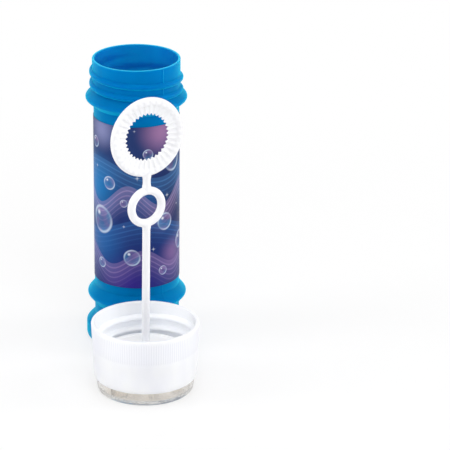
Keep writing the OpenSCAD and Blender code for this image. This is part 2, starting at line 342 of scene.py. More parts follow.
def clean(mesh, weld=0.0):
    """Turns a closed mesh's faces outwards, once points that lie within weld of each other are one."""
    bm = bmesh.new()
    bm.from_mesh(mesh)
    if weld:
        bmesh.ops.remove_doubles(bm, verts=bm.verts, dist=weld)
        bmesh.ops.dissolve_degenerate(bm, edges=bm.edges, dist=weld)
    bmesh.ops.recalc_face_normals(bm, faces=bm.faces)
    bm.to_mesh(mesh)
    bm.free()


def piece(name, part, body, node, uvs=()):
    """A piece from a part in millimetres, with a texture place for each corner of each face, or none."""
    verts, faces = part[:2]
    mesh = bpy.data.meshes.new(name)
    mesh.from_pydata([Vector(v) * MM for v in verts], [], faces)
    if uvs:
        layer = mesh.uv_layers.new(name="UVMap")
        for loop, uv in zip(layer.data, uvs):
            loop.uv = uv
    return finish_piece(name, mesh, body, node)


def finish_piece(name, mesh, body, node, sharp=SHARP_ANGLE):
    """A smooth shaded object that rides on a CAD body and stands for a CAD node."""
    clean(mesh)
    mesh.shade_smooth()
    mesh.set_sharp_from_angle(angle=math.radians(sharp))
    obj = bpy.data.objects.new(name, mesh)
    bpy.context.scene.collection.objects.link(obj)
    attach(obj, body)
    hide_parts(node)
    return obj


def lathe(outline, columns, axis=(0.0, 0.0), start=0.0, shape=None, loop=False):
    """An outline turned about a vertical axis: vertices, faces, and the (row, column) of each face corner.
    A point on the axis stays one vertex. shape(row, radius, height, angle, column) may move a point."""
    verts, faces, places, rings = [], [], [], []
    for row, point in enumerate(outline):
        ring = range(len(verts), len(verts) + (1 if point.x < CLOSE else columns))
        for column in range(len(ring)):
            angle = start + TAU * column / columns
            r, z = shape(row, point.x, point.y, angle, column) if shape else point
            verts.append((axis[0] + r * math.cos(angle), axis[1] + r * math.sin(angle), z))
        rings.append(ring)
    for low in range(len(rings) if loop else len(rings) - 1):
        high = (low + 1) % len(rings)
        if len(rings[low]) == len(rings[high]) == 1:
            continue
        for column in range(columns):
            place = [(low, column), (low, column + 1), (high, column + 1), (high, column)]
            if len(rings[low]) == 1:
                place.pop(1)
            if len(rings[high]) == 1:
                place.pop(2)
            faces.append([rings[i][k % len(rings[i])] for i, k in place])
            places.append(place)
    return verts, faces, places


def turned(sections):
    """Vertices and their rings, from (angle, section) pairs that stand about the Z axis."""
    verts, rings = [], []
    for angle, section in sections:
        rings.append(range(len(verts), len(verts) + len(section)))
        verts += [(p.x * math.cos(angle), p.x * math.sin(angle), p.y) for p in section]
    return verts, rings


def loops_of(rings):
    """Quads between closed rings that follow each other round a closed path."""
    faces = []
    for a, b in zip(rings, rings[1:] + rings[:1]):
        n = len(a)
        faces += [(a[k], b[k], b[(k + 1) % n], a[(k + 1) % n]) for k in range(n)]
    return faces


def moved(part, matrix):
    """The vertices, moved by a matrix, and the faces of a part."""
    verts, faces = part[:2]
    return [matrix @ Vector(v) for v in verts], faces


def joined(name, parts):
    """One mesh in metres from closed parts in millimetres, united where they overlap."""
    objects = []
    others = bpy.data.collections.new(name)
    for k, (verts, faces) in enumerate(parts):
        mesh = bpy.data.meshes.new(f"{name}_{k}")
        mesh.from_pydata(verts, [], faces)
        clean(mesh)
        obj = bpy.data.objects.new(f"{name}_{k}", mesh)
        holder = others if objects else bpy.context.scene.collection
        holder.objects.link(obj)
        objects.append(obj)
    first = objects[0]
    unite = first.modifiers.new("unite", "BOOLEAN")
    unite.operation = "UNION"
    unite.solver = "EXACT"
    unite.operand_type = "COLLECTION"
    unite.collection = others
    depsgraph = bpy.context.evaluated_depsgraph_get()
    mesh = bpy.data.meshes.new_from_object(first.evaluated_get(depsgraph))
    mesh.name = name
    clean(mesh, WELD)
    mesh.transform(Matrix.Scale(MM, 4))
    for obj in objects:
        old = obj.data
        bpy.data.objects.remove(obj)
        bpy.data.meshes.remove(old)
    bpy.data.collections.remove(others)
    return mesh


# Threads

def smooth(low, high, x):
    """Rises softly from 0 at low to 1 at high. A low above high makes it fall."""
    t = max(0.0, min(1.0, (x - low) / (high - low)))
    return t * t * (3 - 2 * t)


def thread_height(z, angle, top, start):
    """Height share, 0 to 1, of the helical ridge at a height and an angle. It falls as the angle grows."""
    turn = ((angle - start) / TAU) % 1.0
    height = 0.0
    for k in range(math.ceil(THREAD_TURNS)):
        t = turn + k
        if t > THREAD_TURNS:
            continue
        fade = min(1.0, t / THREAD_FADE_SHARE, (THREAD_TURNS - t) / THREAD_FADE_SHARE)
        off = abs(z - top + THREAD_PITCH * t) / THREAD_HALF_W
        if off < 1:
            section = (1 - off ** THREAD_FLANK_POWER) ** THREAD_CREST_POWER
            height = max(height, smooth(0, 1, fade) * section)
    return height


# Bottle

def slope_corner(base, crest, rise):
    """Slope of a bead's flank from the level, so that it runs tangent into the rounded nose."""
    run = crest - NOSE_R - base
    return math.atan2(rise, run) - math.asin(NOSE_R / math.hypot(run, rise))


def bead(low_base, high_base, crest, z, rise):
    """Corners of a bead: the foot of its lower flank, its crest, and the foot of its upper flank."""
    low = low_base + rise / math.tan(slope_corner(low_base, crest, rise))
    high = high_base + rise / math.tan(slope_corner(high_base, crest, rise))
    return [(low_base, z - rise, VALLEY_R), ((low + high) / 2, z, NOSE_R), (high_base, z + rise, VALLEY_R)]


def bottle_outline():
    """The bottle's outline, from the middle of its foot up the outside, over the lip and down the inside.
    Also the number of its points below the lip, and of the rows that come before the inside."""
    foot_slope = slope_corner(BODY_R, FOOT_R, FOOT_SLOPE_H)
    foot_corner_z = FOOT_SIDE_H + FOOT_SLOPE_H - (FOOT_R - BODY_R) * math.tan(foot_slope)
    corners = [
        (0, PUSH_UP_H, 0),
        (PUSH_UP_R, PUSH_UP_H, PUSH_UP_EDGE_R),
        (PUSH_UP_R + PUSH_UP_SLOPE, 0, PUSH_UP_EDGE_R),
        (FOOT_R, 0, FOOT_EDGE_R),
        (FOOT_R, foot_corner_z, NOSE_R),
        (BODY_R, FOOT_SIDE_H + FOOT_SLOPE_H, VALLEY_R),
    ]
    corners += bead(BODY_R, BODY_R, LOW_BEAD_R, LOW_BEAD_Z, LOW_BEAD_SLOPE_H)
    corners += bead(BODY_R, NECK_R, COLLAR_R, COLLAR_Z, COLLAR_SLOPE_H)
    corners.append((NECK_R, BOTTLE_H - LIP_EDGE_R, 0))
    outer = rounded(corners)
    inner = inset(outer, WALL)
    inner[0] = Vector((0, inner[0].y))
    lip = rounded([
        (NECK_R, BOTTLE_H - 2 * LIP_EDGE_R, 0),
        (NECK_R, BOTTLE_H, LIP_EDGE_R),
        (NECK_R - WALL, BOTTLE_H, LIP_EDGE_R),
        (NECK_R - WALL, BOTTLE_H - 2 * LIP_EDGE_R, 0),
    ])[1:-1]
    outer = with_rows(outer[:-1] + lip[:1], NECK_ROW_H, COLLAR_Z, BOTTLE_H)
    return outer + lip[1:] + inner[-2::-1], len(outer) - 1, len(outer) + len(lip) - 2


def make_bottle():
    """The blown bottle, with a thread on its neck and a parting line on two sides."""
    outline, outside, first_inner_row = bottle_outline()
    neck_foot_z = COLLAR_Z + COLLAR_SLOPE_H
    seams = {SEAM_COLUMN % BOTTLE_COLUMNS, (SEAM_COLUMN + BOTTLE_COLUMNS // 2) % BOTTLE_COLUMNS}

    def shape(i, r, z, angle, column):
        if i < outside and r > PUSH_UP_R:
            ridge = 0.0
            if z > COLLAR_Z:
                height = thread_height(z, angle, NECK_THREAD_TOP, NECK_THREAD_START)
                ridge = max(0.0, NECK_R + NECK_THREAD_DEPTH * height - r)
            seam = 0.0
            if column in seams and abs(r - FOOT_R) > SEAM_CLEAR:
                seam = SEAM_NECK_H if z > neck_foot_z else SEAM_H
                seam *= max(0.0, 1 - ridge / NECK_THREAD_DEPTH)
            r += ridge + seam
        return r, z

    part = lathe(outline, BOTTLE_COLUMNS, shape=shape)
    shell = piece("bottle_shell", part, "bottle", "bottle")
    for face in shell.data.polygons[first_inner_row * BOTTLE_COLUMNS:]:
        face.material_index = 1
    return shell


# Sleeve

def make_sleeve():
    """The printed film round the bottle, which laps over itself at the back."""
    low, high = SLEEVE_LOW.z, SLEEVE_HIGH.z
    outline = rounded([
        (SLEEVE_IN_R, low, 0),
        (SLEEVE_OUT_R, low, SLEEVE_EDGE_R),
        (SLEEVE_OUT_R, high, SLEEVE_EDGE_R),
        (SLEEVE_IN_R, high, 0),
    ], SLEEVE_EDGE_STEPS, loop=True)
    lap_columns = round(SLEEVE_LAP_W / (TAU * SLEEVE_OUT_R) * BOTTLE_COLUMNS)

    def shape(i, r, z, angle, column):
        if r > SLEEVE_OUT_R - SLEEVE_EDGE_R and column < lap_columns:
            r += SLEEVE_LAP_H
        return r, z

    part = lathe(outline, BOTTLE_COLUMNS, start=SLEEVE_START, shape=shape, loop=True)
    uvs = [
        (column / BOTTLE_COLUMNS, (outline[row].y - low) / (high - low))
        for place in part[2] for row, column in place
    ]
    return piece("printed_sleeve", part, "bottle", "print_sleeve", uvs)


# Cap

def cap_outline():
    """The cap's closed outline, from the shoulder over the rim, the roof and the socket to the recess."""
    angles = [QUARTER_TURN * k / SHOULDER_STEPS for k in range(SHOULDER_STEPS)]
    shoulder = [
        Vector((CAP_END_R + SHOULDER_IN * math.sin(a), BAND_Z + SHOULDER_H * (1 - math.cos(a))))
        for a in angles
    ]
    top = rounded([
        (SHOULDER_R, BAND_Z + SHOULDER_H, 0),
        (RIM_R, RIM_Z, RIM_EDGE_R),
        (CAP_BORE_R, RIM_Z, BORE_EDGE_R),
        (CAP_BORE_R, ROOF_Z, ROOF_FILLET),
        (SEAL_SEAT_R, ROOF_Z, SEAL_SEAT_EDGE_R),
        (SEAL_SEAT_R, SEAL_LOW.z, SEAL_SEAT_EDGE_R),
        (SOCKET_R, SEAL_LOW.z, SEAL_SEAT_EDGE_R),
        (SOCKET_R, SOCKET_Z, 0),
        (0, SOCKET_Z, 0),
    ])
    under = rounded([
        (0, PLATE_HIGH.z, 0),
        (BOSS_R, PLATE_HIGH.z, BOSS_EDGE_R),
        (BOSS_R, ROOF_BACK_Z, BOSS_FILLET),
        (RECESS_R, ROOF_BACK_Z, RECESS_FILLET),
        (RECESS_R, BAND_Z, RECESS_EDGE_R),
        (CAP_END_R, BAND_Z, 0),
    ])
    return with_rows(shoulder + top, CAP_ROW_H, ROOF_Z, RIM_Z) + under[:-1]


def make_cap():
    """The cap's shell, with grip ribs outside and a thread inside."""
    outline = cap_outline()
    outside = next(i for i, p in enumerate(outline) if p.y > RIM_Z - CLOSE)

    def shape(i, r, z, angle, column):
        if i < outside:
            window = smooth(GRIP_LOW_Z, GRIP_LOW_Z + GRIP_FADE, z)
            window *= smooth(GRIP_TOP_Z, GRIP_TOP_Z - GRIP_FADE, z)
            r -= GRIP_RIB_H * window * (1 - math.cos(GRIP_RIBS * angle)) / 2
        elif abs(r - CAP_BORE_R) < CLOSE:
            r -= CAP_THREAD_DEPTH * thread_height(z, angle, CAP_THREAD_TOP, CAP_THREAD_START)
        return r, z

    part = lathe(outline, GRIP_RIBS * COLUMNS_PER_GRIP_RIB, CAP_AXIS, shape=shape, loop=True)
    return piece("cap_skirt", part, "cap", "cap_shell")


def make_seal():
    """The plug disc in the cap's roof, round the wand."""
    low, high = SEAL_LOW.z, SEAL_HIGH.z
    dish_r = SEAL_R - SEAL_RIM_W
    hub_r = SOCKET_R + SEAL_HUB_W
    outline = rounded([
        (SOCKET_R, low, 0),
        (SEAL_R, low, SEAL_FOOT_EDGE_R),
        (SEAL_R, high, SEAL_EDGE_R),
        (dish_r, high, SEAL_RIM_FILLET),
        (dish_r - SEAL_RIM_SLOPE, high - SEAL_DISH, SEAL_RIM_FILLET),
        (hub_r + SEAL_HUB_SLOPE, high - SEAL_DISH, SEAL_HUB_FILLET),
        (hub_r, high, SEAL_HUB_FILLET),
        (SOCKET_R, high, SEAL_BORE_EDGE_R),
    ], loop=True)
    part = lathe(outline, SEAL_COLUMNS, CAP_AXIS, loop=True)
    return piece("seal_plug", part, "cap", "seal_disc")


# Wand

def smooth_max(a, b, blend):
    """The larger of two heights, with a fillet where they cross."""
    near = max(0.0, blend - abs(a - b)) / blend
    return max(a, b) + near * near * blend / 4


def groove_share(along, off):
    """Depth share of the groove between two ribs, from 0 on a rib to 1 midway. Ribs widen outwards."""
    width = RIB_TIP_SHARE + (RIB_RIM_SHARE - RIB_TIP_SHARE) * along
    return smooth(width - FLANK_IN_SHARE, width + FLANK_OUT_SHARE, off)


def flute(r, groove):
    """Depth of the groove between two ribs where it runs out over the rim."""
    run_in = smooth(RIM_MID_R - RING_BAR_R, RIM_MID_R, r)
    run_out = smooth(RIM_MID_R + FLUTE_END_SHARE * RING_BAR_R, RIM_MID_R, r)
    return FLUTE_DEPTH * groove * run_in * run_out


def rib_height(r, along, off):
    """Half of the ribbed ring's thickness inside the middle of its rim."""
    taper_r = RING_HOLE_R - TOOTH_LEN
    out = (r - taper_r) / (RIM_MID_R - taper_r)
    groove = groove_share(along, off)
    tapered = (TAPER_T + (RIB_T + (WEB_T - RIB_T) * groove - TAPER_T) * out) / 2
    bar = math.sqrt(max(0.0, RING_BAR_R ** 2 - (RIM_MID_R - r) ** 2))
    return smooth_max(tapered, bar, RIM_FILLET) - flute(r, groove)


def ring_section(off):
    """Closed section of the big ring. off goes from 0 on a rib to 1 midway between two ribs."""
    edge = RING_HOLE_R + TOOTH_LEN * off
    section = [Vector((edge, rib_height(edge, 0, off) / 2))]
    for k in range(RIB_STEPS):
        along = k / RIB_STEPS
        r = edge + TOOTH_EDGE + (RIM_MID_R - edge - TOOTH_EDGE) * along
        section.append(Vector((r, rib_height(r, along, off))))
    groove = groove_share(1, off)
    for k in range(RIM_STEPS + 1):
        angle = QUARTER_TURN * k / RIM_STEPS
        rim = Vector((RIM_MID_R + RING_BAR_R * math.sin(angle), RING_BAR_R * math.cos(angle)))
        section.append(Vector((rim.x, rim.y - flute(rim.x, groove))))
    return section + [Vector((p.x, -p.y)) for p in reversed(section[:-1])]


def big_ring():
    """The ribbed ring about the Z axis: a round rim, and ribs that thin inwards and end as teeth."""
    columns = RIB_N * COLUMNS_PER_RIB
    sections = []
    for c in range(columns):
        off = abs((c / COLUMNS_PER_RIB + 0.5) % 1.0 - 0.5) * 2
        sections.append((TAU * c / columns, ring_section(off)))
    verts, rings = turned(sections)
    return verts, loops_of(rings)


def small_ring():
    """A round bar bent to a hoop about the Z axis."""
    angles = [TAU * k / SMALL_BAR_STEPS for k in range(SMALL_BAR_STEPS)]
    outline = [
        Vector((SMALL_R - SMALL_BAR_R + SMALL_BAR_R * math.cos(a), SMALL_BAR_R * math.sin(a)))
        for a in angles
    ]
    return lathe(outline, SMALL_COLUMNS, loop=True)


def stem(low, high, high_flare, low_flare=None):
    """A round bar that flares above high_flare, and below low_flare if given, to meet a ring."""
    flare_r = STEM_R + STEM_FLARE
    foot = [(STEM_R, low, STEM_EDGE_R)]
    if low_flare:
        foot = [
            (flare_r, low, 0),
            (flare_r, low_flare, STEM_EDGE_R),
            (STEM_R, low_flare + STEM_FLARE_H, STEM_FLARE_FILLET),
        ]
    head = [
        (STEM_R, high_flare - STEM_FLARE_H, STEM_FLARE_FILLET),
        (flare_r, high_flare, STEM_EDGE_R),
        (flare_r, high, 0),
    ]
    return lathe(rounded([(0, low, 0), *foot, *head, (0, high, 0)]), STEM_COLUMNS)


def make_wand():
    """The wand, one moulding: stem, small ring and ribbed big ring."""
    upright = Matrix.Rotation(QUARTER_TURN, 4, "X")
    parts = [
        moved(big_ring(), Matrix.Translation((0, 0, RING_Z)) @ upright),
        moved(small_ring(), Matrix.Translation((0, 0, SMALL_Z)) @ upright),
        stem(SOCKET_Z + STEM_FLOOR_CLEAR, SMALL_Z - SMALL_MID_R, SMALL_Z - SMALL_R),
        stem(SMALL_Z + SMALL_MID_R, RING_Z - RIM_MID_R, RING_Z - RING_R, SMALL_Z + SMALL_R),
    ]
    place = Matrix.Translation((*CAP_AXIS, LEAN_Z)) @ Matrix.Rotation(WAND_LEAN, 4, "Y")
    place = place @ Matrix.Translation((0, 0, -LEAN_Z)) @ Matrix.Rotation(WAND_TURN, 4, "Z")
    mesh = joined("wand_moulding", [moved(part, place) for part in parts])
    return finish_piece("wand_moulding", mesh, "cap", "wand", WAND_SHARP_ANGLE)


# Puzzle

def cup(gap):
    """A round wall with a gap that faces +X, from z = 0, with rounded upper edges."""
    section = rounded([
        (CUP_R, -SINK, 0),
        (CUP_R + CUP_WALL, -SINK, 0),
        (CUP_R + CUP_WALL, CUP_H, CUP_EDGE_R),
        (CUP_R, CUP_H, CUP_EDGE_R),
    ], CUP_EDGE_STEPS, loop=True)
    angles = [gap / 2 + (TAU - gap) * k / CUP_COLUMNS for k in range(CUP_COLUMNS + 1)]
    verts, rings = turned([(angle, section) for angle in angles])
    faces = loops_of(rings)[:-len(section)]
    return verts, faces + [tuple(rings[0]), tuple(reversed(rings[-1]))]


def tie_bar():
    """A bar from an outer cup's back to the chamber's wall."""
    xs = (OUTER_CUP_PLACE + CUP_R + CUP_WALL / 2, CHAMBER_R + SINK)
    ys = (-CUP_WALL / 2, CUP_WALL / 2)
    zs = (-SINK, CUP_H - CUP_EDGE_R)
    verts = [(x, y, z) for z in zs for y in ys for x in xs]
    return verts, [(0, 2, 3, 1), (4, 5, 7, 6), (0, 1, 5, 4), (2, 6, 7, 3), (0, 4, 6, 2), (1, 3, 7, 5)]


def pip():
    """A peg between two outer cups."""
    outline = rounded([
        (0, -SINK, 0),
        (PIP_R, -SINK, 0),
        (PIP_R, CUP_H, CUP_EDGE_R),
        (0, CUP_H, 0),
    ], CUP_EDGE_STEPS)
    return lathe(outline, PIP_COLUMNS)


def clear_cup():
    """The window, its band and the spigot."""
    outline = rounded([
        (0, 0, 0),
        (WINDOW_R, 0, WINDOW_EDGE_R),
        (BAND_TOP_R, BAND_Z, LENS_EDGE_R),
        (SPIGOT_R, BAND_Z, LENS_FILLET),
        (SPIGOT_R, SPIGOT_TOP_Z, SPIGOT_EDGE_R),
        (PLATE_SEAT_R, SPIGOT_TOP_Z, SPIGOT_EDGE_R),
        (PLATE_SEAT_R, PLATE_LOW.z, LENS_FILLET),
        (CHAMBER_R, PLATE_LOW.z, LENS_EDGE_R),
        (CHAMBER_R, WINDOW_T, CHAMBER_FILLET),
        (0, WINDOW_T, 0),
    ])
    return lathe(outline, LENS_COLUMNS)


def on_window(angle, reach=0.0):
    """Place on the window's inner face, turned out to an angle and moved out from the axis."""
    lift = Matrix.Rotation(angle, 4, "Z") @ Matrix.Translation((0, 0, WINDOW_T))
    return lift @ Matrix.Translation((reach, 0, 0))


def make_lens():
    """The clear lens, one moulding: cup, ball cups, tie bars and pips."""
    half_turn = Matrix.Rotation(math.pi, 4, "Z")
    parts = [clear_cup()]
    for k in range(CUP_N):
        outer = TAU * k / CUP_N
        inner = TAU * (k + 0.5) / CUP_N
        parts += [
            moved(cup(OUTER_CUP_GAP), on_window(outer, OUTER_CUP_PLACE) @ half_turn),
            moved(tie_bar(), on_window(outer)),
            moved(cup(INNER_CUP_GAP), on_window(inner, INNER_CUP_PLACE)),
            moved(pip(), on_window(inner, PIP_PLACE)),
        ]
    place = Matrix.Translation((*CAP_AXIS, 0)) @ Matrix.Rotation(PUZZLE_TURN, 4, "Z")
    mesh = joined("puzzle_window", [moved(part, place) for part in parts])
    return finish_piece("puzzle_window", mesh, "cap", "puzzle_lens", LENS_SHARP_ANGLE)


def make_plate():
    """The plate that closes the ball chamber."""
    low, high = PLATE_LOW.z, PLATE_HIGH.z
    outline = rounded([
        (0, low, 0),
        (PLATE_R, low, PLATE_EDGE_R),
        (PLATE_R, high, PLATE_EDGE_R),
        (0, high, 0),
    ], PLATE_EDGE_STEPS)
    part = lathe(outline, PLATE_COLUMNS, CAP_AXIS)
    return piece("puzzle_plate", part, "cap", "puzzle_floor")


def make_ball(node):
    """A ball that fills its CAD node's box."""
    low, high = box_mm(node)
    middle = (low + high) / 2
    radius = (high.z - low.z) / 2
    angles = [math.pi * k / BALL_ROWS for k in range(BALL_ROWS + 1)]
    outline = [Vector((radius * math.sin(a), middle.z - radius * math.cos(a))) for a in angles]
    part = lathe(outline, BALL_COLUMNS, (middle.x, middle.y))
    return piece("steel_" + node, part, node, node)


# Materials

WHITE = (1.0, 1.0, 1.0, 1.0)
# Strength and depth, in metres, of the fine unevenness of a moulded or polished surface
FINE_BUMP = 0.05
FINE_BUMP_DEPTH = 0.0001
# Values between which most of a noise lies
NOISE_SPAN = (0.3, 0.7)
WIDE_NOISE_SPAN = (0.25, 0.75)


class Shader:
    """The nodes of a material or a world, made one by one with their settings and inputs."""

    def __init__(self, owner):
        self.owner = owner
        owner.use_nodes = True
        self.tree = owner.node_tree
        self.tree.nodes.clear()

    def add(self, kind, settings=None, **inputs):
        """A new node. Its inputs are given by name, with _ for a space."""
        node = self.tree.nodes.new("ShaderNode" + kind)
        for key, value in (settings or {}).items():
            setattr(node, key, value)
        for key, value in inputs.items():
            self.put(node, key.replace("_", " "), value)
        return node

    def put(self, node, key, value):
        """Sets a node's input, by its name or number, or links a socket to it."""
        socket = node.inputs[int(key)] if key.isdigit() else node.inputs[key]
        if isinstance(value, bpy.types.NodeSocket):
            self.tree.links.new(value, socket)
        else:
            socket.default_value = value

    def math(self, operation, a, b=0.0):
        node = self.add("Math", {"operation": operation})
        self.put(node, "0", a)
        self.put(node, "1", b)
        return node.outputs[0]

    def mix(self, factor, a, b):
        node = self.add("Mix", {"data_type": "RGBA"})
        self.put(node, "0", factor)
        self.put(node, "6", a)
        self.put(node, "7", b)
        return node.outputs[2]

    def span(self, value, low, high, to_low=0.0, to_high=1.0):
        """Goes softly from to_low to to_high while a value goes from low to high."""
        node = self.add("MapRange", {"interpolation_type": "SMOOTHSTEP"})
        for key, number in zip("01234", (value, low, high, to_low, to_high)):
            self.put(node, key, number)
        return node.outputs[0]

    def noise(self, vector, scale, detail=3.0, roughness=0.5):
        node = self.add("TexNoise", Vector=vector, Scale=scale, Detail=detail, Roughness=roughness)
        return node.outputs["Fac"]

    def stretched(self, vector, scale):
        return self.add("Mapping", Vector=vector, Scale=scale).outputs[0]

    def vector(self, operation, a, b):
        node = self.add("VectorMath", {"operation": operation})
        self.put(node, "0", a)
        self.put(node, "1", b)
        return node.outputs["Value" if operation in ("DISTANCE", "DOT_PRODUCT") else "Vector"]

    def axes(self, vector):
        return self.add("SeparateXYZ", Vector=vector).outputs

    def bump(self, height, distance=FINE_BUMP_DEPTH):
        return self.add("Bump", Height=height, Strength=FINE_BUMP, Distance=distance).outputs[0]

    def mix_shader(self, factor, a, b):
        node = self.add("MixShader")
        self.put(node, "0", factor)
        self.put(node, "1", a.outputs[0])
        self.put(node, "2", b.outputs[0])
        return node

    def place(self, kind="Object"):
        return self.add("TexCoord").outputs[kind]

    def finish(self, shader, output="OutputMaterial"):
        self.tree.links.new(shader.outputs[0], self.add(output).inputs["Surface"])
        return self.owner


def material(name):
    """The shader of a new material."""
    return Shader(bpy.data.materials.new(name))


def colour(r, g, b):
    """A display colour, 0 to 255, as the linear colour that shaders use. The curve is sRGB's."""
    def linear(v):
        v /= 255
        return v / 12.92 if v <= 0.04045 else ((v + 0.055) / 1.055) ** 2.4
    return (linear(r), linear(g), linear(b), 1.0)


# Moulded plastics: waves in a metre of the flow streaks, the clouds in the gloss and the orange peel
FLOW_SCALE = 90.0
CLOUD_SCALE = 420.0
PEEL_SCALE = 2600.0
GLOSS_SPREAD = 0.06
SHEEN_ROUGH = 0.45
PLASTIC_SPECULAR = 0.3


def moulded(name, dark, light, rough, specular=PLASTIC_SPECULAR, sss=0.0, sss_scale=0.0,
            sss_radius=(1.0, 1.0, 1.05), streak=(1.0, 1.0, 1.0), tint=WHITE, sheen=0.0, paint=None):
    """Moulded plastic: faint flow streaks in its colour, uneven gloss and a fine orange peel.
    Light scatters under its surface by share sss, as far as sss_scale in millimetres times sss_radius.
    paint(shader, place, colour) may change the colour by place."""
    s = material(name)
    place = s.place()
    flow = s.noise(s.stretched(place, streak), FLOW_SCALE, detail=4.0, roughness=0.55)
    cloud = s.noise(place, CLOUD_SCALE, detail=2.0)
    base = s.mix(s.span(flow, *NOISE_SPAN), dark, light)
    if paint:
        base = paint(s, place, base)
    gloss = s.span(cloud, *WIDE_NOISE_SPAN, rough - GLOSS_SPREAD, rough + GLOSS_SPREAD)
    shader = s.add("BsdfPrincipled", Base_Color=base, Roughness=gloss)
    s.put(shader, "Normal", s.bump(s.noise(place, PEEL_SCALE)))
    s.put(shader, "Specular IOR Level", specular)
    s.put(shader, "Specular Tint", tint)
    if sheen:
        s.put(shader, "Sheen Weight", sheen)
        s.put(shader, "Sheen Roughness", SHEEN_ROUGH)
        s.put(shader, "Sheen Tint", tint)
    if sss:
        s.put(shader, "Subsurface Weight", sss)
        s.put(shader, "Subsurface Radius", sss_radius)
        s.put(shader, "Subsurface Scale", sss_scale * MM)
    return s.finish(shader)


# Colour of the painted highlight along the bottle's lip
LIP_PAINTED_HIGHLIGHT = colour(40, 150, 208)


def painted_lip_highlight(s, place, base):
    """Painted highlight: a lighter colour along the top of the bottle's lip."""
    highlight = s.span(s.axes(place)[2], (BOTTLE_H - LIP_EDGE_R) * MM, BOTTLE_H * MM)
    return s.mix(highlight, base, LIP_PAINTED_HIGHLIGHT)


def bottle_plastic(name, dark, light, **extra):
    """Blue plastic that glows a little from within and shines blue."""
    return moulded(name, dark, light, rough=0.5, specular=0.06, sss=0.8, sss_scale=5.5,
                   sss_radius=(0.1, 0.8, 1.0), streak=(1.0, 1.0, 0.25), tint=(0.0, 0.85, 1.0, 1.0), **extra)


def bottle_outside():
    return bottle_plastic("bottle_blue", colour(0, 107, 175), colour(0, 114, 181),
                          sheen=0.9, paint=painted_lip_highlight)


# The inside is the same plastic without the sheen, in a slightly lighter colour that is painted light
def bottle_inside():
    return bottle_plastic("bottle_inside", colour(12, 114, 181), colour(12, 121, 187))


# Colours of the painted shade in the grip grooves and of the painted light inside the cap
GROOVE_SHADE = colour(233, 234, 242)
CAP_INSIDE_PAINTED_LIGHT = colour(246, 249, 255)


def cap_painted_shade_and_light(s, place, base):
    """Painted shade in the grooves between the cap's grip ribs, and painted light inside the cap as a
    lighter colour.
    """
    x, y, z = s.axes(s.vector("SUBTRACT", place, (0.0, CAP_Y * MM, 0.0)))
    wave = s.math("COSINE", s.math("MULTIPLY", s.math("ARCTAN2", y, x), GRIP_RIBS))
    low = s.span(z, GRIP_LOW_Z * MM, (GRIP_LOW_Z + GRIP_FADE) * MM)
    top = s.span(z, GRIP_TOP_Z * MM, (GRIP_TOP_Z - GRIP_FADE) * MM)
    groove = s.math("MULTIPLY", s.span(wave, 1.0, -1.0), s.math("MULTIPLY", low, top))
    radius = s.math("SQRT", s.math("ADD", s.math("MULTIPLY", x, x), s.math("MULTIPLY", y, y)))
    mid_wall_r = (CAP_BORE_R + SHOULDER_R) / 2
    inside = s.span(radius, mid_wall_r * MM, CAP_BORE_R * MM)
    # Painted light: the cap's inside above the roof is given a lighter colour
    inside_painted_light = s.math("MULTIPLY", inside, s.span(z, ROOF_BACK_Z * MM, ROOF_Z * MM))
    base = s.mix(s.math("MULTIPLY", groove, s.math("SUBTRACT", 1.0, inside)), base, GROOVE_SHADE)
    return s.mix(inside_painted_light, base, CAP_INSIDE_PAINTED_LIGHT)


def cap_white():
    return moulded("cap_white", colour(238, 239, 248), colour(245, 246, 252), rough=0.42,
                   sss=0.8, sss_scale=2.0, streak=(1.0, 1.0, 0.3), paint=cap_painted_shade_and_light)


def seal_white():
    return moulded("seal_white", colour(248, 249, 251), colour(252, 252, 253), rough=0.45,
                   sss=1.0, sss_scale=1.5)


def wand_white():
    return moulded("wand_white", colour(241, 241, 244), colour(247, 247, 249), rough=0.4,
                   streak=(1.0, 1.0, 0.3))


def plate_white():
    return moulded("floor_white", colour(241, 232, 223), colour(247, 239, 230), rough=0.5)


# Clear plastic: its side wall is satin above the polished window
CLEAR_IOR = 1.49
CLEAR_DARK = colour(250, 246, 240)
CLEAR_LIGHT = colour(255, 253, 250)
HAZE_SCALE = 160.0
HAZE_SPAN = (0.3, 0.75)
RIPPLE_SCALE = 700.0
POLISHED_ROUGH = 0.02
HAZY_ROUGH = 0.07
SATIN_LOW_Z = 0.5
SATIN_HIGH_Z = 1.4
SATIN_ROUGH = 0.2


def clear_plastic():
    """Clear plastic with a faint haze and ripple."""
    s = material("clear_plastic")
    place = s.place()
    haze = s.noise(place, HAZE_SCALE)
    gloss = s.span(haze, *HAZE_SPAN, POLISHED_ROUGH, HAZY_ROUGH)
    satin = s.span(s.axes(place)[2], SATIN_LOW_Z * MM, SATIN_HIGH_Z * MM, 0.0, SATIN_ROUGH)
    base = s.mix(s.span(haze, *NOISE_SPAN), CLEAR_DARK, CLEAR_LIGHT)
    ripple = s.bump(s.noise(place, RIPPLE_SCALE, detail=2.0))
    shader = s.add("BsdfPrincipled", Base_Color=base, Normal=ripple, IOR=CLEAR_IOR)
    s.put(shader, "Roughness", s.math("ADD", gloss, satin))
    s.put(shader, "Transmission Weight", 1.0)
    return s.finish(shader)


# Steel of the balls
STEEL_DARK = colour(122, 124, 128)
STEEL_LIGHT = colour(170, 171, 175)
STEEL_ROUGH = 0.14
STEEL_WORN_ROUGH = 0.28
WEAR_SCALE = 1500.0
WEAR_SPAN = (0.35, 0.7)
SCRATCH_SCALE = 3000.0
SCRATCH_STRETCH = (1.0, 1.0, 9.0)


